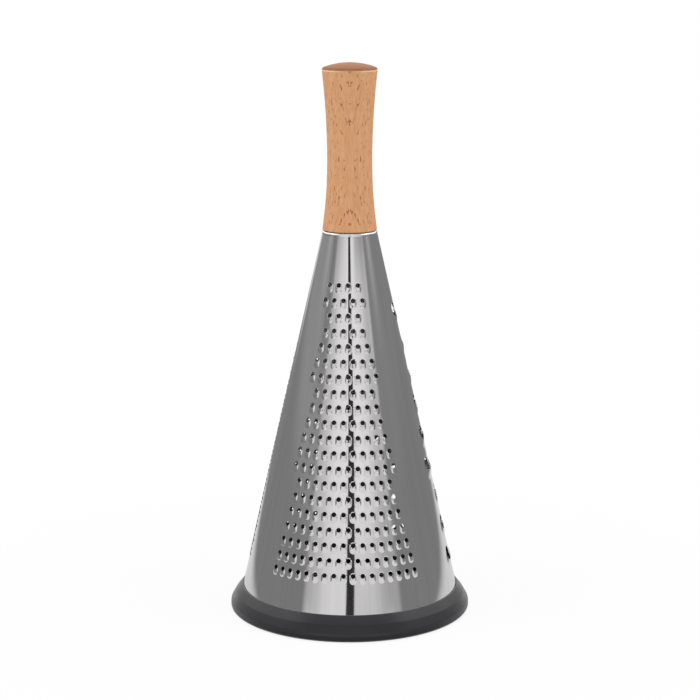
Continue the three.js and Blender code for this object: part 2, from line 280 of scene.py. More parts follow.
def quads_between(rows, columns, closed):
    """Corner numbers of a grid's quads. Its columns go all the way round, and so do its rows if closed."""
    row = np.arange(rows if closed else rows - 1)[:, None]
    column = np.arange(columns)[None, :]
    next_row = (row + 1) % rows
    next_column = (column + 1) % columns
    corners = (
        row * columns + column,
        row * columns + next_column,
        next_row * columns + next_column,
        next_row * columns + column,
    )
    return np.stack(np.broadcast_arrays(*corners), axis=-1).reshape(-1, 4)


def around_axis(radius, around, height):
    """Points (radius times the sine, minus radius times the cosine, height), for angles round the axis."""
    parts = np.broadcast_arrays(radius * np.sin(around), -radius * np.cos(around), height)
    return np.stack(parts, axis=-1)


def round_mesh(name, radius, height, around):
    """A mesh from a grid of radii and heights: rows follow the section, columns are angles round the axis.

    The rows run round the material counter-clockwise. Where the first and last rows lie on the axis they
    become poles, and otherwise the last row joins the first.
    """
    points = around_axis(radius, around, height)
    rows, columns = points.shape[:2]
    if np.all(radius[0] < TINY):
        body = quads_between(rows - 2, columns, False)
        first = np.arange(columns)
        second = (first + 1) % columns
        last = (rows - 3) * columns
        bottom, top = (rows - 2) * columns, (rows - 2) * columns + 1
        fans = [
            np.stack([np.full(columns, bottom), second, first], axis=-1),
            np.stack([last + first, last + second, np.full(columns, top)], axis=-1),
        ]
        vertices = np.concatenate([points[1:-1].reshape(-1, 3), points[0, :1], points[-1, :1]])
        faces = body.tolist() + np.concatenate(fans).tolist()
    else:
        vertices = points.reshape(-1, 3)
        faces = quads_between(rows, columns, True).tolist()
    mesh = bpy.data.meshes.new(name)
    mesh.from_pydata(vertices.tolist(), [], faces)
    mesh.shade_smooth()
    mesh.set_sharp_from_angle(angle=CREASE)
    return mesh


def turned_mesh(name, section, sides):
    """A turned piece: each point (radius, height) of the section goes round the axis in equal steps."""
    radius, height = np.asarray(section).T
    around = np.arange(sides) * TURN / sides
    return round_mesh(name, radius[:, None], height[:, None], around[None, :])


def arc(centre_radius, centre_height, size, start, end, steps=8):
    """Points of a circle's arc in a section, between two angles in degrees from the outward direction."""
    turn = np.radians(np.linspace(start, end, steps + 1))
    return np.column_stack([centre_radius + size * np.cos(turn), centre_height + size * np.sin(turn)])


def parabola(start, control, end, steps=24):
    """Points of the parabola that leaves start towards control and reaches end from control."""
    t = np.linspace(0, 1, steps + 1)[:, None]
    start, control, end = (np.asarray(p) for p in (start, control, end))
    return (1 - t) ** 2 * start + 2 * t * (1 - t) * control + t**2 * end


def rounded_section(corners, steps=6):
    """A closed section from corners (radius, height, round), with an arc in place of each corner.

    With unit vectors u and v from a corner along its two sides, the arc's middle lies on their bisector at
    round over the sine of half the angle between them, and the arc starts and ends where its radius meets
    the sides. Its points come from turning evenly between the two radii.
    """
    corners = np.asarray(corners, float)
    place, size = corners[:, :2], corners[:, 2:]
    before = np.roll(place, 1, axis=0) - place
    after = np.roll(place, -1, axis=0) - place
    before /= np.linalg.norm(before, axis=1, keepdims=True)
    after /= np.linalg.norm(after, axis=1, keepdims=True)
    half = np.arccos(np.clip(np.sum(before * after, axis=1, keepdims=True), -1, 1)) / 2
    bisector = before + after
    bisector /= np.linalg.norm(bisector, axis=1, keepdims=True)
    middle = place + bisector * size / np.sin(half)
    first = place + before * size / np.tan(half) - middle
    last = place + after * size / np.tan(half) - middle
    start = np.arctan2(first[:, 1], first[:, 0])
    sweep = np.arctan2(last[:, 1], last[:, 0]) - start
    sweep = (sweep + math.pi) % TURN - math.pi
    turn = start[:, None] + sweep[:, None] * np.linspace(0, 1, steps + 1)
    arcs = middle[:, None, :] + size[:, :, None] * np.stack([np.cos(turn), np.sin(turn)], axis=-1)
    return arcs.reshape(-1, 2)


# Shader expressions


class Shade:
    """A shader socket that takes part in Python expressions. Each operator adds a Math node."""

    def __init__(self, tree, socket=None):
        self.tree = tree
        self.socket = socket

    def node(self, kind, inputs=None, output=0, **settings):
        """Adds a node. Its settings come first, then each input gets a value or a link."""
        made = self.tree.nodes.new(kind)
        for name, value in settings.items():
            setattr(made, name, value)
        for key, value in (inputs or {}).items():
            if isinstance(value, Shade):
                self.tree.links.new(value.socket, made.inputs[key])
            else:
                made.inputs[key].default_value = value
        return Shade(self.tree, made.outputs[output] if made.outputs else None)

    def math(self, operation, *values):
        return self.node("ShaderNodeMath", dict(enumerate((self, *values))), operation=operation)

    def __add__(self, other):
        return self.math("ADD", other)

    def __sub__(self, other):
        return self.math("SUBTRACT", other)

    def __rsub__(self, other):
        return self.node("ShaderNodeMath", {0: other, 1: self}, operation="SUBTRACT")

    def __mul__(self, other):
        return self.math("MULTIPLY", other)

    def __truediv__(self, other):
        return self.math("DIVIDE", other)

    __radd__ = __add__
    __rmul__ = __mul__

    def step(self, low, high):
        """0 at low, 1 at high, and a smooth S between them."""
        inputs = {"Value": self, "From Min": low, "From Max": high}
        return self.node("ShaderNodeMapRange", inputs, interpolation_type="SMOOTHSTEP")

    def mix(self, start, end):
        """The colour start where this value is 0, and end where it is 1."""
        inputs = {"Factor": self, 6: start, 7: end}
        return self.node("ShaderNodeMix", inputs, output=2, data_type="RGBA")

    def stretched(self, x, y, z):
        """This vector with each of its parts multiplied."""
        return self.node("ShaderNodeVectorMath", {0: self, 1: (x, y, z)}, operation="MULTIPLY")

    def parts(self):
        """The three parts of this vector."""
        made = self.node("ShaderNodeSeparateXYZ", {0: self})
        return tuple(Shade(self.tree, socket) for socket in made.socket.node.outputs)

    def noise(self, detail=2.0, roughness=0.5):
        """Noise over this vector, about 0.5 on average. One unit of the vector is one bump."""
        inputs = {"Vector": self, "Scale": 1.0, "Detail": detail, "Roughness": roughness}
        return self.node("ShaderNodeTexNoise", inputs)


def paint(rgb, times=1.0):
    """A shader's colour, from linear red, green and blue that are all multiplied by the same value."""
    return (*(times * c for c in rgb), 1.0)


def new_material(name):
    """An empty material: the material, its shading start and the place of a point in millimetres.

    A stretch of that place is therefore in bumps of noise per millimetre, along x, y and z.
    """
    material = bpy.data.materials.new(name)
    material.use_nodes = True
    material.node_tree.nodes.clear()
    shade = Shade(material.node_tree)
    place = shade.node("ShaderNodeTexCoord", output=3)
    return material, shade, place.stretched(1000, 1000, 1000)


def show(material, shade, surface):
    """Puts a surface on the material's output."""
    shade.node("ShaderNodeOutputMaterial", {"Surface": surface})
    return material


def principled(material, shade, inputs):
    """Gives the material a Principled shader with these inputs."""
    return show(material, shade, shade.node("ShaderNodeBsdfPrincipled", inputs))


def bump(shade, height, distance, strength):
    """A bent normal from a height of 0 to 1 that stands for a distance in metres."""
    return shade.node("ShaderNodeBump", {"Strength": strength, "Distance": distance, "Height": height})


def polished_steel(name, metal):
    """Mirror-polished sheet: faint cloudy tone and roughness, and polishing lines that run up the slant,
    which depend on the direction from the axis and hardly on the height."""
    material, shade, place = new_material(name)
    x, y, z = place.parts()
    across = (x * x + y * y).math("SQRT")
    facing = shade.node("ShaderNodeCombineXYZ", {0: x / across, 1: y / across, 2: 0.004 * z})
    cloud = place.stretched(0.03, 0.03, 0.02).noise(3)
    lines = facing.stretched(14, 14, 1).noise(5, 0.7)
    tone = 0.65 * lines.step(0.25, 0.75) + 0.35 * cloud
    return principled(material, shade, {
        "Base Color": tone.mix(paint(metal, 0.86), paint(metal)),
        "Metallic": 1.0,
        "Roughness": 0.03 + 0.02 * lines + 0.03 * cloud,
    })


def dull_steel(colours):
    """The cone's inside, as the sheet came from the mill: a little darker and softer, with fine rolling
    lines."""
    material, shade, place = new_material("dull_steel")
    lines = place.stretched(1.6, 1.6, 0.05).noise(3)
    return principled(material, shade, {
        "Base Color": lines.step(0.3, 0.7).mix(paint(colours.steel, 0.75), paint(colours.steel, 0.9)),
        "Metallic": 1.0,
        "Roughness": 0.3 + 0.12 * lines,
    })


def plated_steel(colours):
    """Satin plating: mottled in tone and roughness, with a fine grain."""
    material, shade, place = new_material("plated_steel")
    mottle = place.stretched(0.9, 0.9, 0.9).noise(4)
    grain = place.stretched(9, 9, 9).noise(2)
    return principled(material, shade, {
        "Base Color": mottle.step(0.3, 0.7).mix(paint(colours.plating, 0.72), paint(colours.plating)),
        "Metallic": 1.0,
        "Roughness": 0.26 + 0.2 * mottle,
        "Normal": bump(shade, grain, 0.02 * MM, 0.4),
    })


def moulded_rubber(colours):
    """Dark rubber with the fine grain of its mould, faint cloudy handling marks and a dusty sheen."""
    material, shade, place = new_material("moulded_rubber")
    grain = place.stretched(3.2, 3.2, 3.2).noise(3, 0.6)
    cloud = place.stretched(0.05, 0.05, 0.08).noise(3)
    tone = 0.5 * cloud + 0.5 * grain
    return principled(material, shade, {
        "Base Color": tone.mix(paint(colours.rubber), paint(colours.rubber, 1.25)),
        "Roughness": 0.3 + 0.1 * cloud,
        "Specular IOR Level": 0.55,
        "Sheen Weight": 0.42,
        "Sheen Roughness": 0.4,
        "Normal": bump(shade, grain, 0.05 * MM, 0.3),
    })


# The handle's wood, in millimetres
PITH = 46.0               # the tree's middle lies this far behind the handle's axis
PITH_SWAY = 1.6           # how far the year rings stray
YEAR_WIDTH = 2.3          # from year ring to year ring
FLECK_STEP = 0.74         # from arch to arch that flecks lie on


def turned_beech(colours, rim):
    """Beech with upright grain. The handle is cut from one side of the tree, so the year rings are arcs
    about a line behind it, and the waisted surface cuts them in arches. Flecks are short pieces of such
    arches, alike left and right. The domed top shows end grain, paler to its crest. A painted highlight
    lies pale on the rim at both sides, and painted shade darkens the foot where it meets the cap.
    """
    material, shade, place = new_material("turned_beech")
    x, y, z = place.parts()
    aside = x.math("ABSOLUTE")
    mirrored = shade.node("ShaderNodeCombineXYZ", {0: aside, 1: y, 2: z})
    sway = mirrored.stretched(0.05, 0.05, 0.012).noise(2)
    from_pith = y - PITH
    ring = (x * x + from_pith * from_pith).math("SQRT") + PITH_SWAY * sway
    year = (ring * (TURN / YEAR_WIDTH)).math("SINE") * 0.5 + 0.5
    pores = place.stretched(1.5, 1.5, 0.07).noise(3, 0.7)
    streak = place.stretched(0.45, 0.45, 0.014).noise(3)
    fibre = place.stretched(1.1, 1.1, 0.2).noise(3, 0.7)
    line = ((ring / FLECK_STEP).math("FRACT") - 0.5).math("ABSOLUTE")
    broken = mirrored.stretched(0.66, 0.66, 0.36).noise(1)
    fleck = (1 - line.step(0.06, 0.24)) * broken.step(0.55, 0.635)
    above_rim = z - rim / MM
    top, crest = above_rim.step(0.1, 0.6), above_rim.step(0.8, 3.2)
    # painted highlight: a pale line along the rim, only towards the left and right
    painted_highlight = (1 - above_rim.math("ABSOLUTE").step(0.1, 0.4)) * aside.step(1.0, 9.0)
    # painted shade: the foot is darkened within a fraction of a millimetre of the cap
    shaded = 1 - (z - HANDLE_LOW.z / MM).step(0.1, 0.7)
    tone = 0.35 * pores.step(0.3, 0.7) + 0.25 * streak.step(0.3, 0.7) + 0.4 * fibre.step(0.35, 0.65)
    wood = tone.mix(paint(colours.beech), paint(colours.beech_pale))
    wood = (0.45 * year * (1 - tone)).mix(wood, paint(colours.beech, 0.93))
    wood = (0.8 * fleck).mix(wood, paint(colours.beech_fleck_and_shade))
    # painted shade at the foot, in the fleck colour at half strength
    wood = (0.7 * shaded).mix(wood, paint(colours.beech_fleck_and_shade, 0.5))
    end_tone = 0.3 * year + 0.2 * pores + 0.5 * crest
    end_grain = end_tone.mix(paint(colours.beech_end, 0.55), paint(colours.beech_end))
    return principled(material, shade, {
        "Base Color": (0.8 * painted_highlight).mix(top.mix(wood, end_grain), paint(colours.beech_highlight)),
        "Roughness": 0.5 + 0.14 * pores + 0.05 * fleck,
        "Specular IOR Level": 0.25,
        "Normal": bump(shade, pores - 0.4 * fleck, 0.06 * MM, 0.35),
    })


# The pieces


class ConeShape:
    """The cone's outside as a flat blank: a fan about its apex, rolled so that its straight edges meet.

    A point of the blank lies at a distance from the apex and at a turn about it. Rolled up, the angle round
    the axis is the turn over the sine of the lean, and the radius is the distance times that sine.
    """

    def __init__(self, sizes):
        self.foot_radius = RING_HIGH.x - sizes.ring_wall
        self.top_radius = CAP_HIGH.x
        self.foot = CONE_LOW.z
        self.top = CONE_HIGH.z
        self.lean = math.atan2(self.foot_radius - self.top_radius, self.top - self.foot)
        self.sine = math.sin(self.lean)
        self.cosine = math.cos(self.lean)
        self.far = self.foot_radius / self.sine
        self.near = self.top_radius / self.sine
        self.apex = self.foot + self.far * self.cosine

    def radius(self, z):
        """Outside radius at a height above the table."""
        return (self.apex - z) * self.sine / self.cosine

    def around(self, flat):
        """Angle round the axis of points of the blank, once rolled."""
        return np.arctan2(flat[:, 0], -flat[:, 1]) / self.sine

    def rolled(self, flat, height):
        """Points of the blank rolled onto the cone, each a height out from the sheet's outside."""
        distance = np.hypot(flat[:, 0], flat[:, 1])
        out = self.directions(flat)[2]
        z = self.apex - distance * self.cosine
        return around_axis(distance * self.sine, self.around(flat), z) + height[:, None] * out

    def directions(self, flat):
        """At points of the blank, once rolled: the way round, the way up the slant and the way out."""
        around = self.around(flat)
        sine, cosine, level = np.sin(around), np.cos(around), np.zeros_like(around)
        way_round = np.column_stack([cosine, sine, level])
        slant = np.column_stack([-self.sine * sine, self.sine * cosine, level + self.cosine])
        out = np.column_stack([self.cosine * sine, -self.cosine * cosine, level + self.sine])
        return way_round, slant, out


def blank_axes(turn):
    """Unit vectors on the blank at a turn about the apex: to the right, and up towards the apex."""
    right = np.stack([np.cos(turn), np.sin(turn)], axis=-1)
    up = np.stack([-np.sin(turn), np.cos(turn)], axis=-1)
    return right, up


def zone_places(zone, cone):
    """Distance from the apex and turn of each hole of a zone. Rows are staggered by half a pitch, and each
    holds the holes that fit in the zone's width at its height."""
    rows = int((cone.far - cone.near - zone.top_margin - zone.first_row) / zone.row_step) + 1
    places = []
    for row in range(rows):
        rise = row * zone.row_step
        half = max(zone.half_width - zone.taper * rise, zone.least_half)
        stagger = 0.5 * (row % 2)
        reach = math.floor(half / zone.pitch + stagger) - stagger
        along = zone.offset + zone.pitch * np.arange(-reach, reach + 0.5)
        distance = cone.far - zone.first_row - rise
        turn = zone.facing * cone.sine + along / distance
        places.append(np.column_stack([np.full_like(turn, distance), turn]))
    return np.concatenate(places)


TONGUE_END = 0.2          # height at a tongue's end, as a share of its height at the hole
TONGUE_LEVEL = 0.42       # share of a tongue's half width that is level
SLOPE_STEP = 0.01 * MM    # slopes come from heights this far to both sides
RING_SPACING = 0.7        # a tooth's rings lie closer together towards the last, by this power


def drawn_height(zone, x, y):
    """Height of the drawn metal, x to the right of a hole's middle and y up the slant.

    Below the hole a tongue is raised. Its foot is a U: what lies within half its width of a line that runs
    down from the hole's middle. Above the middle the foot closes over the hole in half an ellipse. Across,
    the tongue is level near that line and falls in a smooth S to its foot. Along, it grows evenly from its
    end up to the hole. Round the hole's upper half the metal is dished: one minus the square of the share
    of the dish's radius, squared, times its depth. The tongue gives way to the dish smoothly across the
    hole.
    """
    past_line = np.maximum(zone.side - zone.below - y, 0) + np.maximum(y, 0) * zone.side / zone.above
    from_line = np.hypot(x, past_line)
    rise = 1 - smoothstep(TONGUE_LEVEL, 1, from_line / zone.side)
    grown = np.clip((y + zone.below) / (zone.below - zone.hole / 2), 0, 1)
    tongue = (TONGUE_END + (1 - TONGUE_END) * grown) * rise
    dished = np.clip(1 - (x**2 + y**2) / zone.above**2, 0, None) ** 2
    upper = smoothstep(-zone.hole / 2, zone.hole / 2, y)
    return zone.lift * tongue * (1 - upper) - zone.dish * dished * upper


def drawn_slope(zone, x, y):
    """Rise of the drawn metal per length to the right and up the slant, from small differences."""
    d = SLOPE_STEP
    across = (drawn_height(zone, x + d, y) - drawn_height(zone, x - d, y)) / (2 * d)
    along = (drawn_height(zone, x, y + d) - drawn_height(zone, x, y - d)) / (2 * d)
    return across, along


def zone_points(zone, cone, rings):
    """A zone's teeth on the blank, as arrays over teeth, rings and points round the hole.

    The first ring is the hole's round edge and the last the U that ends the drawn metal: points a third
    of the way round its lower half lie on its straight sides, and the others on its round end. Other rings
    lie between these two, closer together towards the last. Returns the flat points, their heights and
    the slopes as flat vectors.
    """
    places = zone_places(zone, cone)
    turn = np.arange(zone.around) * TURN / zone.around - TURN / 4
    part = np.linspace(0, 1, rings)[:, None] ** RING_SPACING
    sine, cosine = np.sin(turn), np.cos(turn)
    lower = np.arcsin(np.clip(-sine, 0, 1)) / (TURN / 4)
    straight = np.clip(3 * lower, 0, 1) * (zone.below - zone.side)
    bend = np.clip(1.5 * lower - 0.5, 0, 1) * TURN / 4
    u_across = np.where(sine < 0, np.sign(cosine) * np.cos(bend), cosine) * zone.side
    u_along = np.where(sine < 0, -straight - zone.side * np.sin(bend), zone.above * sine)
    x = zone.hole / 2 * cosine * (1 - part) + u_across * part
    y = zone.hole / 2 * sine * (1 - part) + u_along * part
    right, up = (axis[:, None, None, :] for axis in blank_axes(places[:, 1]))
    middle = -up * places[:, 0, None, None, None]
    flat = middle + x[..., None] * right + y[..., None] * up
    height = np.broadcast_to(drawn_height(zone, x, y), flat.shape[:3])
    across, along = drawn_slope(zone, x, y)
    slope = across[..., None] * right + along[..., None] * up
    return flat, height, slope


SHEET_ROWS = 49           # rows of points on the plain sheet, up the slant
SHEET_COLUMNS = 144       # and round the cone
TOOTH_CLEAR = 0.9 * MM    # plain points keep this far from the drawn metal


def plain_points(cone, zones):
    """Points of the plain sheet on an even fan of rows and columns, without those among the teeth."""
    distance = np.linspace(cone.near, cone.far, SHEET_ROWS)
    turn = np.linspace(-math.pi, math.pi, SHEET_COLUMNS + 1) * cone.sine
    row, column = (grid.ravel() for grid in np.meshgrid(
        np.arange(SHEET_ROWS), np.arange(SHEET_COLUMNS + 1), indexing="ij"
    ))
    flat = -blank_axes(turn[column])[1] * distance[row][:, None]
    keep = np.ones(len(flat), bool)
    for zone in zones:
        places = zone_places(zone, cone)
        right, up = blank_axes(places[:, 1])
        away = flat[:, None, :] + up * places[:, :1]
        x = np.sum(away * right, axis=-1)
        y = np.sum(away * up, axis=-1)
        reach = np.where(y < 0, zone.below, zone.above) + TOOTH_CLEAR
        inside = (x / (zone.side + TOOTH_CLEAR)) ** 2 + (y / reach) ** 2 < 1
        keep &= ~inside.any(axis=1)
    return flat[keep], row[keep], column[keep]


def loop_edges(loops):
    """Edges from each point of a loop to the next, for loops given as rows of point numbers."""
    return np.stack([loops, np.roll(loops, -1, axis=1)], axis=-1).reshape(-1, 2)


def chain_edges(chain):
    """Edges from each point of a chain to the next."""
    return np.column_stack([chain[:-1], chain[1:]])


def same_for_all(mark):
    """True for triangles whose three corners have the same mark, not counting marks below 0."""
    return (mark[:, 0] >= 0) & (mark[:, 0] == mark[:, 1]) & (mark[:, 1] == mark[:, 2])


class FlatSide:
    """One side of the sheet, laid flat, punched and drawn.

    The flat points of the teeth and of the plain sheet are joined by triangles that keep the teeth's rings
    and the blank's edges. Triangles inside a hole, past the blank's upper edge and outside its straight
    edges are left out, and then the straight edges are joined. The outside has all rings of a tooth and
    the inside only two.
    """

    def __init__(self, cone, zones, all_rings):
        plain, row, column = plain_points(cone, zones)
        points, heights, slopes = [plain], [np.zeros(len(plain))], [np.zeros_like(plain)]
        marks = [np.full(len(plain), -1)]
        self.loops, self.rings = [], []
        start, holes = len(plain), 0
        for zone in zones:
            flat, height, slope = zone_points(zone, cone, zone.rings if all_rings else 2)
            number = start + np.arange(height.size).reshape(height.shape)
            mark = np.full(number.shape, -1)
            mark[:, 0, :] = holes + np.arange(len(number))[:, None]
            self.loops.append(number[:, 0, :])
            self.rings.append(number.reshape(-1, zone.around))
            points.append(flat.reshape(-1, 2))
            heights.append(height.ravel())
            slopes.append(slope.reshape(-1, 2))
            marks.append(mark.ravel())
            start += number.size
            holes += len(number)
        self.flat = np.concatenate(points)
        self.height = np.concatenate(heights)
        self.slope = np.concatenate(slopes)
        others = np.full(len(self.flat) - len(plain), -1)
        row, column = np.append(row, others), np.append(column, others)
        self.top = np.flatnonzero(row == 0)
        self.foot = np.flatnonzero(row == SHEET_ROWS - 1)
        self.left = np.flatnonzero(column == 0)
        self.right = np.flatnonzero(column == SHEET_COLUMNS)
        top_mark = np.where(row == 0, 0, -1)
        side_mark = np.select([column == 0, column == SHEET_COLUMNS], [0, 1], -1)
        triangles = self.joined()
        for mark in (np.concatenate(marks), top_mark, side_mark):
            triangles = triangles[~same_for_all(mark[triangles])]
        self.weld = np.arange(len(self.flat))
        self.weld[self.right] = self.left
        self.triangles = self.weld[triangles]

    def joined(self):
        """Triangles over all points, as even as they can be while they keep the edges."""
        chains = [chain_edges(chain) for chain in (self.top, self.foot, self.left, self.right)]
        edges = np.concatenate(chains + [loop_edges(ring) for ring in self.rings])
        points = [Vector(point) for point in self.flat.tolist()]
        made = delaunay_2d_cdt(points, edges.tolist(), [], 0, TINY, False)
        if len(made[0]) != len(points):
            raise RuntimeError("two points of the flat sheet fell together")
        return np.array(made[2])

    def normals(self, cone):
        """The way out of the drawn metal at each point, from its slopes."""
        way_round, slant, out = cone.directions(self.flat)
        across, along = self.local(self.slope)
        normal = out - across * way_round - along * slant
        return normal / np.linalg.norm(normal, axis=1, keepdims=True)

    def local(self, vectors):
        """Parts of flat vectors to the right and up the slant, at each point."""
        right, up = blank_axes(np.arctan2(self.flat[:, 0], -self.flat[:, 1]))
        return np.sum(vectors * right, axis=1)[:, None], np.sum(vectors * up, axis=1)[:, None]

    def into_holes(self, cone, loop):
        """At the points of the loops, the way towards the middle of their hole."""
        inward = np.zeros_like(self.flat)
        inward[loop] = self.flat[loop].mean(axis=1, keepdims=True) - self.flat[loop]
        way_round, slant, _ = cone.directions(self.flat)
        across, along = self.local(inward)
        return across * way_round + along * slant


def cone_mesh(cone, zones, sheet):
    """The rolled sheet with its teeth, as one closed surface: an outside, an inside one sheet further in,
    and walls round the holes and along the two round edges. Normals are the exact ones of the cone and the
    drawn metal. Faces of the inside have the second material."""
    outer, inner = FlatSide(cone, zones, True), FlatSide(cone, zones, False)
    number = len(outer.flat)
    turned_over = inner.triangles[:, ::-1]
    faces = [outer.triangles, turned_over + number]
    normals = [outer.normals(cone)[outer.triangles], -inner.normals(cone)[turned_over]]

    def add_wall(pair, inner_pair, direction):
        faces.append(np.column_stack([pair, inner_pair[:, ::-1] + number]))
        normals.append(direction[np.column_stack([pair, pair[:, ::-1]])])

    for loop, inner_loop in zip(outer.loops, inner.loops):
        add_wall(loop_edges(loop), loop_edges(inner_loop), outer.into_holes(cone, loop))
    slant = cone.directions(outer.flat)[1]
    for chain, side in ((outer.top, 1), (outer.foot, -1)):
        pair = outer.weld[chain_edges(chain)][:, ::side]
        add_wall(pair, pair, side * slant)

    vertices = np.concatenate([
        cone.rolled(outer.flat, outer.height), cone.rolled(inner.flat, inner.height - sheet)
    ])
    used = np.ones(len(vertices), bool)
    used[outer.right] = False
    used[inner.right + number] = False
    renumber = np.cumsum(used) - 1
    mesh = bpy.data.meshes.new("grater_sheet")
    mesh.from_pydata(vertices[used].tolist(), [], sum([renumber[f].tolist() for f in faces], []))
    mesh.shade_smooth()
    mesh.normals_split_custom_set(np.concatenate([n.reshape(-1, 3) for n in normals]).tolist())
    inside = np.zeros(len(mesh.polygons), np.int32)
    inside[len(outer.triangles):len(outer.triangles) + len(inner.triangles)] = 1
    mesh.polygons.foreach_set("material_index", inside)
    return mesh


def ring_section(cone, sizes):
    """Section of the base ring: flat foot, upright wall, swelling shoulder, lip against the cone, the
    groove for its edge, and the wall inside it. Each corner is (radius, height, round)."""
    across = sizes.sheet / cone.cosine + sizes.hug
    floor, inner_top = RING_LOW.z + sizes.ring_floor, RING_LOW.z + sizes.ring_inner_height
    inside = cone.radius(inner_top) - across - sizes.ring_inner_wall
    top = RING_HIGH.z
    swell_radius, swell_height = 57.5 * MM, 8.1 * MM
    foot_round, upright_round, swell_round = 1.7 * MM, 2.6 * MM, 4.0 * MM
    lip_round, lip_edge, groove_edge = 0.25 * MM, 0.1 * MM, 0.02 * MM
    inner_edge, inner_round, inner_foot = 0.2 * MM, 0.8 * MM, 0.5 * MM
    return rounded_section([
        (inside, RING_LOW.z, inner_foot),
        (RING_HIGH.x, RING_LOW.z, foot_round),
        (RING_HIGH.x, RING_LOW.z + sizes.ring_upright, upright_round),
        (swell_radius, swell_height, swell_round),
        (cone.radius(top) + sizes.hug + sizes.ring_lip, top, lip_round),
        (cone.radius(top) + sizes.hug, top, lip_edge),
        (cone.radius(floor) + sizes.hug, floor - sizes.hug, groove_edge),
        (cone.radius(floor) - across, floor - sizes.hug, groove_edge),
        (cone.radius(inner_top) - across, inner_top, inner_edge),
        (inside, inner_top, inner_round),
    ])


def cap_section(cone, sizes):
    """Section of the pressed cap: a folded rim on the cone's edge, a skirt inside and the screw's hole."""
    sheet = sizes.cap_sheet
    underside = CAP_HIGH.z - sheet
    skirt = cone.top_radius - sizes.sheet / cone.cosine - sizes.skirt_gap
    edge, bend = 0.1 * MM, 0.5 * MM
    rim_top, rim_low = 1.15 * MM, 0.3 * MM
    return rounded_section([
        (skirt - sheet, CAP_LOW.z, edge),
        (skirt, CAP_LOW.z, edge),
        (skirt, cone.top, edge),
        (cone.top_radius, cone.top, rim_low),
        (cone.top_radius, CAP_HIGH.z, rim_top),
        (sizes.bore, CAP_HIGH.z, edge),
        (sizes.bore, underside, edge),
        (skirt - sheet, underside, bend),
    ])


def washer_section(sizes):
    """Section of the flat washer, with its edges stamped round on one side."""
    low, high, outside = WASHER_LOW.z, WASHER_HIGH.z, WASHER_HIGH.x
    hole_round, rim_round, sharp = 0.2 * MM, 0.35 * MM, 0.08 * MM
    return rounded_section([
        (sizes.bore, low, hole_round),
        (outside, low, rim_round),
        (outside, high, sharp),
        (sizes.bore, high, sharp),
    ])


SHOULDER_TURN = 72        # degrees of the round above the handle's rim, where it runs into the dome


def handle_section(sizes):
    """Section of the handle from its bore's end to its crest: two parabolas that meet at the waist, a small
    round at the foot, a larger one above the rim, and a parabola for the domed top."""
    foot, crest = HANDLE_LOW.z, HANDLE_HIGH.z
    waist, rim = foot + sizes.waist_height, foot + sizes.rim_height
    size, outside = sizes.handle_round, HANDLE_HIGH.x
    bore_end = SCREW_HIGH.z + sizes.bore_end
    lower = parabola(
        (sizes.handle_foot, foot + size),
        (sizes.handle_waist, (foot + size + waist) / 2),
        (sizes.handle_waist, waist),
    )
    upper = parabola(
        (sizes.handle_waist, waist),
        (sizes.handle_waist, (waist + rim) / 2),
        (outside, rim),
    )
    shoulder = arc(outside - sizes.handle_shoulder, rim, sizes.handle_shoulder, 0, SHOULDER_TURN)
    edge = shoulder[-1]
    dome = parabola(edge, (edge[0] / 2, crest), (0, crest))
    return np.concatenate([
        [(0, bore_end), (sizes.bore, bore_end), (sizes.bore, foot)],
        arc(sizes.handle_foot - size, foot + size, size, -90, 0),
        lower[1:],
        upper[1:],
        shoulder[1:],
        dome[1:],
    ])


def cross_reach(around, half_width, half_length):
    """How far a cross of two slots reaches from its middle in each direction."""
    sine, cosine = np.abs(np.sin(around)), np.abs(np.cos(around))
    long_way = np.maximum(sine, cosine)
    short_way = np.maximum(np.minimum(sine, cosine), TINY)
    return np.minimum(half_length / long_way, np.maximum(half_width / short_way, half_width / long_way))


SCREW_AROUND = 96         # points round the screw
THREAD_STEPS = 16         # rows for each turn of the thread
RECESS_SHARES = (0, 0.35, 0.7, 0.72, 0.98, 1.0)    # rows of the recess, as shares of its reach
RECESS_DEPTHS = (1, 1, 0.95, 0.9, 0.06, 0)         # and how deep they lie, as shares of its depth
CROWN_ROWS = 12           # rows on the head's face
CROWN_SHARE = 0.35        # share of the head's height that its face bulges
HEAD_ROW = 0.7            # a row on the head's side lies this share of the side from the seat
HEAD_CHAMFER = 0.2 * MM   # width of the chamfer where the head meets its seat
HEAD_CHAMFER_DOWN = 0.15 * MM      # and its height
THREAD_START = 6 * MM     # the thread starts this far from the seat
THREAD_FULL = 8 * MM      # and has its full depth this far from it


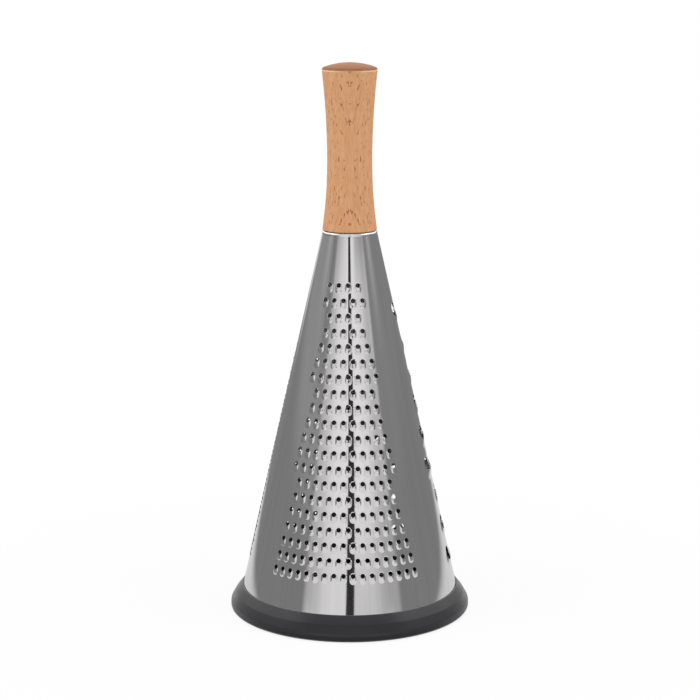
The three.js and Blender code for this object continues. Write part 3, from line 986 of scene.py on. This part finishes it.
def screw_mesh(sizes):
    """The screw as one grid: rows from the middle of the recess over the head and up the shank to the point.

    In the recess the radius is a share of how far the cross reaches in each direction. The head's crown is
    a quarter of an ellipse. On the shank the radius falls from the crest by the thread's depth times a
    smooth wave of the angle and height, which winds the thread, and the point tapers in a straight line.
    """
    around = np.arange(SCREW_AROUND) * TURN / SCREW_AROUND
    low, tip = SCREW_LOW.z, SCREW_HIGH.z
    seat = low + sizes.screw_head
    head = SCREW_HIGH.x
    reach = cross_reach(around, sizes.slot_width / 2, sizes.slot_length / 2)[None, :]
    recess_radius = np.array(RECESS_SHARES)[:, None] * reach
    recess_depth = np.array(RECESS_DEPTHS)[:, None] * sizes.slot_depth
    crown = CROWN_SHARE * sizes.screw_head
    crown_part = np.linspace(0, 1, CROWN_ROWS + 1)[1:, None]
    crown_radius = reach + (head - reach) * np.sin(crown_part * TURN / 4)

    def crown_height(radius):
        """Height of the head's face: an ellipse from the head's lowest point to its edge."""
        return low + crown * (1 - np.sqrt(np.clip(1 - (radius / head) ** 2, 0, 1)))

    recess_z = crown_height(recess_radius) + recess_depth
    shank_z = np.linspace(seat, tip, int((tip - seat) / sizes.thread_pitch * THREAD_STEPS))[:, None]
    taper = np.clip((tip - shank_z) / sizes.screw_point, 0, 1)
    wave = 0.5 - 0.5 * np.cos(TURN * shank_z / sizes.thread_pitch - around[None, :])
    grown = smoothstep(seat + THREAD_START, seat + THREAD_FULL, shank_z)
    depth = sizes.thread_depth * wave**2 * grown
    shank_radius = (sizes.shank - depth) * taper
    under_head = np.array([head, head, head - HEAD_CHAMFER])[:, None]
    side_row = seat - HEAD_ROW * (sizes.screw_head - crown)
    under_z = np.array([side_row, seat - HEAD_CHAMFER_DOWN, seat])[:, None]
    full = np.ones_like(reach)
    radius = np.concatenate([recess_radius, crown_radius, under_head * full, shank_radius])
    height = np.concatenate([recess_z, crown_height(crown_radius), under_z * full, shank_z * full])
    return round_mesh("handle_screw_threaded", radius, height, around[None, :])


# The stage


# Light of the studio's parts, as a share of white
SCREEN_LIGHT, SKIRT_LIGHT, GAP_LIGHT = 0.8, 0.95, 0.035
LAMP_LIGHT, LAMP_TOP_LIGHT = 1.2, 3.0

# The gap between the soft boxes
GAP_AZIMUTH = 2.2         # degrees to the right of the camera, where it lies furthest right
GAP_HEIGHT = 0.27         # height of that place
GAP_BOW = 90              # degrees to the left per square metre of height from there

# What metal mirrors
FLOOR_ROWS, WALL_ROWS, WALL_COLUMNS = 24, 56, 360
FINE_FROM, FINE_TO, FINE_COLUMNS = -8, 24, 160      # more columns, between these azimuths
STUDIO_LIFT = 0.3 * MM    # it lies this far above the table


def blend(start, end, part):
    """Start where the part is 0, and end where it is 1."""
    return start + (end - start) * part


def soft_line(azimuth, middle, width):
    """1 at the middle, falling like a bell to both sides, to a third at the width."""
    return np.exp(-(((azimuth - middle) / width) ** 2))


def studio_glow(azimuth, height, grey):
    """Light that the studio wall shows to polished metal, by azimuth in degrees and height in metres.

    Two wide soft boxes stand left and right of the camera, brightest next to the gap that it looks
    through, and dimmer outwards, high up and low down. The sides are grey, paler on the left, with a soft
    upright strip high on each side, and a darker one next to the left box. A pale screen stands behind to
    the left. Lamps hang high on both sides, brightest at the top. A white skirt closes the boxes below,
    and the gap between them is dark. Each part starts and ends in a smooth step of azimuth or height.
    """
    away = np.abs(azimuth)

    def sided(left, right):
        return np.where(azimuth > 0, right, left)

    dim_out = 0.37 * smoothstep(20, 46, away)
    dim_up = sided(0.2, 0.45) * smoothstep(0.39, 0.49, height) * smoothstep(6, 24, away)
    dim_low = sided(0.1, 0.25) * (1 - smoothstep(0.13, 0.23, height))
    dim_top = 0.85 * smoothstep(0.75, 1.05, height)
    box = (1 - dim_out) * (1 - dim_up) * (1 - dim_low) * (1 - dim_top)
    box_edge = sided(48.0, 53.5)
    side = grey + sided(0.09, 0.02) * smoothstep(0.1, 0.2, height)
    strip = sided(0.17, 0.24) * soft_line(away, sided(84, 76), 9) * smoothstep(0.25, 0.45, height)
    notch = sided(0.1, 0.0) * soft_line(away, 60, 7) * smoothstep(0.25, 0.36, height)
    glow = blend(box, side + strip - notch, smoothstep(box_edge - 2.5, box_edge + 3.5, away))
    screen = smoothstep(141, 154, -azimuth) * smoothstep(0.0, 0.11, height)
    glow = blend(glow, SCREEN_LIGHT, screen)
    lamp_foot = 0.48 - 0.2 * smoothstep(95, 115, away)
    lamps = smoothstep(48, 75, away) * smoothstep(lamp_foot, lamp_foot + 0.12, height)
    glow = blend(glow, blend(LAMP_LIGHT, LAMP_TOP_LIGHT, smoothstep(0.9, 1.2, height)), lamps)
    skirt = (1 - smoothstep(0.06, 0.1, height)) * (1 - smoothstep(40, 50, away))
    glow = blend(glow, SKIRT_LIGHT, skirt)
    from_gap = np.abs(azimuth - GAP_AZIMUTH + GAP_BOW * (height - GAP_HEIGHT) ** 2)
    gap = (1 - smoothstep(4.0, 4.5, from_gap)) * smoothstep(0.07, 0.1, height)
    return blend(glow, GAP_LIGHT, gap)


def table_glow(x, y, grey):
    """Light that the table shows to polished metal: pale round the object and fading to grey past its
    edges. In front of the object it is wider and brighter, and it reaches further back on the right. Close
    to the ring it lies in the ring's shadow."""
    wider = np.maximum(-0.15 - y, 0)
    left = 1 - smoothstep(0.11, 0.2, -x - wider)
    right = 1 - smoothstep(0.14, 0.3, x - wider)
    back = 1 - smoothstep(0.24, 0.4, y - np.where(x > 0, 0.1, 0))
    white = 0.78 + 0.12 * smoothstep(-0.05, 0.1, -y)
    shadow = 1 - smoothstep(0.058, 0.09, np.hypot(x, y))
    return blend(grey, white, left * right * back) * (1 - 0.7 * shadow)


def studio_mesh(stage):
    """What polished metal sees round the object: the table, the grey floor past it, and the wall.

    Each azimuth has a column of points, from the ring out to the wall's foot and up the wall. There are
    more columns near the gap, and the floor's rows lie closer together towards the ring.
    """
    even = np.linspace(-180, 180, WALL_COLUMNS + 1)[1:]
    fine = np.linspace(FINE_FROM, FINE_TO, FINE_COLUMNS + 1)
    azimuth = np.unique(np.concatenate([even, fine]))
    out = np.linspace(0, 1, FLOOR_ROWS + 1)[:, None] ** 2
    radius = blend(RING_HIGH.x, stage.wall_radius, out) + np.zeros_like(azimuth)
    up = np.linspace(0, stage.wall_height, WALL_ROWS + 1)[1:, None] + np.zeros_like(azimuth)
    turn = np.radians(azimuth)[None, :]
    floor_light = table_glow(radius * np.sin(turn), -radius * np.cos(turn), stage.grey)
    wall_light = studio_glow(azimuth[None, :], up, stage.grey)
    radius = np.concatenate([radius, np.full_like(up, stage.wall_radius)])
    height = np.concatenate([np.zeros_like(floor_light), up]) + STUDIO_LIFT
    glow = np.concatenate([floor_light, wall_light])
    faces = quads_between(*radius.shape, False)[:, ::-1]
    mesh = bpy.data.meshes.new("studio_wall")
    mesh.from_pydata(around_axis(radius, turn, height).reshape(-1, 3).tolist(), [], faces.tolist())
    layer = mesh.attributes.new("glow", "FLOAT", "POINT")
    layer.data.foreach_set("value", glow.ravel().astype(np.float32))
    return mesh


def seen_or_mirrored(shade):
    """1 for rays that show the background itself: from the camera, in a mirror or through glass."""
    rays = shade.node("ShaderNodeLightPath").socket.node.outputs
    names = ("Is Camera Ray", "Is Glossy Ray", "Is Transmission Ray")
    seen, mirrored, through = (Shade(shade.tree, rays[name]) for name in names)
    return (seen + mirrored + through).math("MINIMUM", 1.0)


def white_table(colours):
    """White table top. Seen or mirrored it glows white, a little less close to the ring, where its shadow
    shows. Under the object its colour is darkened, a painted shade for the little light that comes there.
    Steps are in millimetres from the axis."""
    material, shade, place = new_material("white_table")
    x, y, _ = place.parts()
    away = (x * x + y * y).math("SQRT")
    weight = away.step(50, 62) * (0.93 + 0.07 * away.step(80, 300))
    # painted shade: the table's colour is darkened inside the ring, under the object
    tone = away.step(50, 58).mix(paint(colours.floor, 0.2), paint(colours.floor))
    matte = shade.node("ShaderNodeBsdfDiffuse", {"Color": tone})
    white = shade.node("ShaderNodeEmission", {"Strength": 1.0})
    shares = {0: seen_or_mirrored(shade) * weight, 1: matte, 2: white}
    return show(material, shade, shade.node("ShaderNodeMixShader", shares))


def studio_light():
    """The wall's own glow, from its attribute."""
    material, shade, _ = new_material("studio_light")
    glow = shade.node("ShaderNodeAttribute", output=2, attribute_name="glow")
    return show(material, shade, shade.node("ShaderNodeEmission", {"Color": glow}))


TABLE_RINGS = (0.2, 1.0, 4.0)      # radii of the table's rings of points
TABLE_SIDES = 64                   # points round the table


def table_mesh():
    """A wide flat disc at the height of the object's foot."""
    number = np.arange(TABLE_SIDES)
    radius = np.array(TABLE_RINGS)[:, None]
    points = around_axis(radius, number * TURN / TABLE_SIDES, CAD_LOW.z).reshape(-1, 3).tolist()
    faces = quads_between(len(TABLE_RINGS), TABLE_SIDES, False)[:, ::-1].tolist()
    fan = np.column_stack([np.full_like(number, len(points)), number, (number + 1) % TABLE_SIDES])
    mesh = bpy.data.meshes.new("table_top")
    mesh.from_pydata(points + [(0, 0, CAD_LOW.z)], [], faces + fan.tolist())
    return mesh


# Soft lamps: name, place and width in metres, and power in watts
LAMPS = (
    ("key_left", (-1.3, -0.5, 0.8), 1.0, 7.6),
    ("key_right", (1.3, -0.5, 0.8), 1.0, 6.6),
    ("top_fill", (0.0, -0.6, 1.5), 1.2, 1.6),
)
SENSOR_WIDTH = 36         # of the camera, in millimetres


def add_lamp(name, place, target, size, power):
    """A square soft lamp that faces a point. Metal mirrors the studio wall in place of the lamps."""
    data = bpy.data.lights.new(name, "AREA")
    data.shape = "SQUARE"
    data.size = size
    data.energy = power
    lamp = bpy.data.objects.new(name, data)
    lamp.location = place
    lamp.rotation_euler = (Vector(target) - Vector(place)).to_track_quat("-Z", "Y").to_euler()
    lamp.visible_glossy = False
    bpy.context.scene.collection.objects.link(lamp)


def add_camera(stage):
    """The photo's camera, which looks down a little at the object's front."""
    data = bpy.data.cameras.new("photo_camera")
    data.sensor_width = SENSOR_WIDTH
    data.lens = stage.focal_length
    camera = bpy.data.objects.new("photo_camera", data)
    camera.location = (stage.camera_aside, -stage.camera_distance, stage.camera_height)
    camera.rotation_euler = (math.pi / 2 - stage.camera_pitch, 0, 0)
    bpy.context.scene.collection.objects.link(camera)
    bpy.context.scene.camera = camera


def set_world(stage):
    """White where it is seen or mirrored, and a plain even light for everything else."""
    world = bpy.data.worlds.new("studio")
    world.use_nodes = True
    world.node_tree.nodes.clear()
    shade = Shade(world.node_tree)
    strength = stage.ambient + seen_or_mirrored(shade) * (1 - stage.ambient)
    light = shade.node("ShaderNodeBackground", {"Color": (1, 1, 1, 1), "Strength": strength})
    shade.node("ShaderNodeOutputWorld", {"Surface": light})
    bpy.context.scene.world = world


# The operators


class PieceOperator:
    """What the operators share."""

    bl_options = {"REGISTER", "UNDO"}

    @staticmethod
    def settings():
        return bpy.context.scene.cone_grater


class GRATER_OT_cone(PieceOperator, bpy.types.Operator):
    """Make the punched and rolled steel cone"""

    bl_idname = "grater.cone"
    bl_label = "Cone"

    def execute(self, context):
        s = self.settings()
        mesh = cone_mesh(ConeShape(s.sizes), (s.medium, s.coarse, s.fine), s.sizes.sheet)
        outside = polished_steel("polished_steel", s.colours.steel)
        add_piece("cone_sheet", mesh, "grater_cone", "sheet_steel", outside, dull_steel(s.colours))
        return {"FINISHED"}


class GRATER_OT_ring(PieceOperator, bpy.types.Operator):
    """Make the rubber base ring"""

    bl_idname = "grater.ring"
    bl_label = "Base ring"

    def execute(self, context):
        s = self.settings()
        mesh = turned_mesh("ring_moulding", ring_section(ConeShape(s.sizes), s.sizes), RING_SIDES)
        add_piece("ring_moulding", mesh, "base_ring", "rubber", moulded_rubber(s.colours))
        return {"FINISHED"}


class GRATER_OT_cap(PieceOperator, bpy.types.Operator):
    """Make the pressed cap between the cone and the handle"""

    bl_idname = "grater.cap"
    bl_label = "Top cap"

    def execute(self, context):
        s = self.settings()
        mesh = turned_mesh("cap_pressing", cap_section(ConeShape(s.sizes), s.sizes), CAP_SIDES)
        plating = polished_steel("bright_plating", s.colours.cap)
        add_piece("cap_pressing", mesh, "top_cap", "cap_steel", plating)
        return {"FINISHED"}


class GRATER_OT_handle(PieceOperator, bpy.types.Operator):
    """Make the turned handle"""

    bl_idname = "grater.handle"
    bl_label = "Handle"

    def execute(self, context):
        s = self.settings()
        mesh = turned_mesh("handle_turning", handle_section(s.sizes), HANDLE_SIDES)
        rim = HANDLE_LOW.z + s.sizes.rim_height
        add_piece("handle_turning", mesh, "handle", "beech", turned_beech(s.colours, rim))
        return {"FINISHED"}


class GRATER_OT_fixing(PieceOperator, bpy.types.Operator):
    """Make the screw and the washer that hold the handle"""

    bl_idname = "grater.fixing"
    bl_label = "Screw and washer"

    def execute(self, context):
        s = self.settings()
        plating = plated_steel(s.colours)
        screw = screw_mesh(s.sizes)
        add_piece("screw_threaded", screw, "handle_screw", "fastener_steel", plating)
        washer = turned_mesh("washer_stamped", washer_section(s.sizes), WASHER_SIDES)
        add_piece("washer_stamped", washer, "screw_washer", "fastener_steel", plating)
        return {"FINISHED"}


class GRATER_OT_stage(PieceOperator, bpy.types.Operator):
    """Make the table, the studio light and the camera"""

    bl_idname = "grater.stage"
    bl_label = "Stage"

    def execute(self, context):
        s = self.settings()
        table = add_object("table_top", table_mesh(), white_table(s.colours))
        wall = add_object("studio_wall", studio_mesh(s.stage), studio_light())
        wall.visible_camera = False
        wall.visible_diffuse = False
        wall.visible_shadow = False
        set_world(s.stage)
        middle = (CAD_LOW + CAD_HIGH) / 2
        for name, place, size, power in LAMPS:
            add_lamp(name, place, middle, size, power)
        add_camera(s.stage)
        bpy.context.scene.view_settings.view_transform = "Standard"
        return {"FINISHED"}


OPERATORS = (
    GRATER_OT_ring, GRATER_OT_cone, GRATER_OT_cap, GRATER_OT_fixing, GRATER_OT_handle, GRATER_OT_stage,
)


class GRATER_PT_panel(bpy.types.Panel):
    """Panel that lists the pieces"""

    bl_idname = "GRATER_PT_panel"
    bl_label = "Cone grater"
    bl_space_type = "VIEW_3D"
    bl_region_type = "UI"
    bl_category = "Grater"

    def draw(self, context):
        for operator in OPERATORS:
            self.layout.operator(operator.bl_idname)


CLASSES = (
    MediumTeeth, CoarseTeeth, FineTeeth, GraterSizes, GraterColours, GraterStage, GraterSettings,
    *OPERATORS, GRATER_PT_panel,
)


def register():
    for cls in CLASSES:
        bpy.utils.register_class(cls)
    bpy.types.Scene.cone_grater = bpy.props.PointerProperty(type=GraterSettings)


def unregister():
    del bpy.types.Scene.cone_grater
    for cls in reversed(CLASSES):
        bpy.utils.unregister_class(cls)


def main():
    register()
    bpy.ops.grater.stage()
    bpy.ops.grater.ring()
    bpy.ops.grater.cone()
    bpy.ops.grater.cap()
    bpy.ops.grater.fixing()
    bpy.ops.grater.handle()


if __name__ == "__main__":
    main()
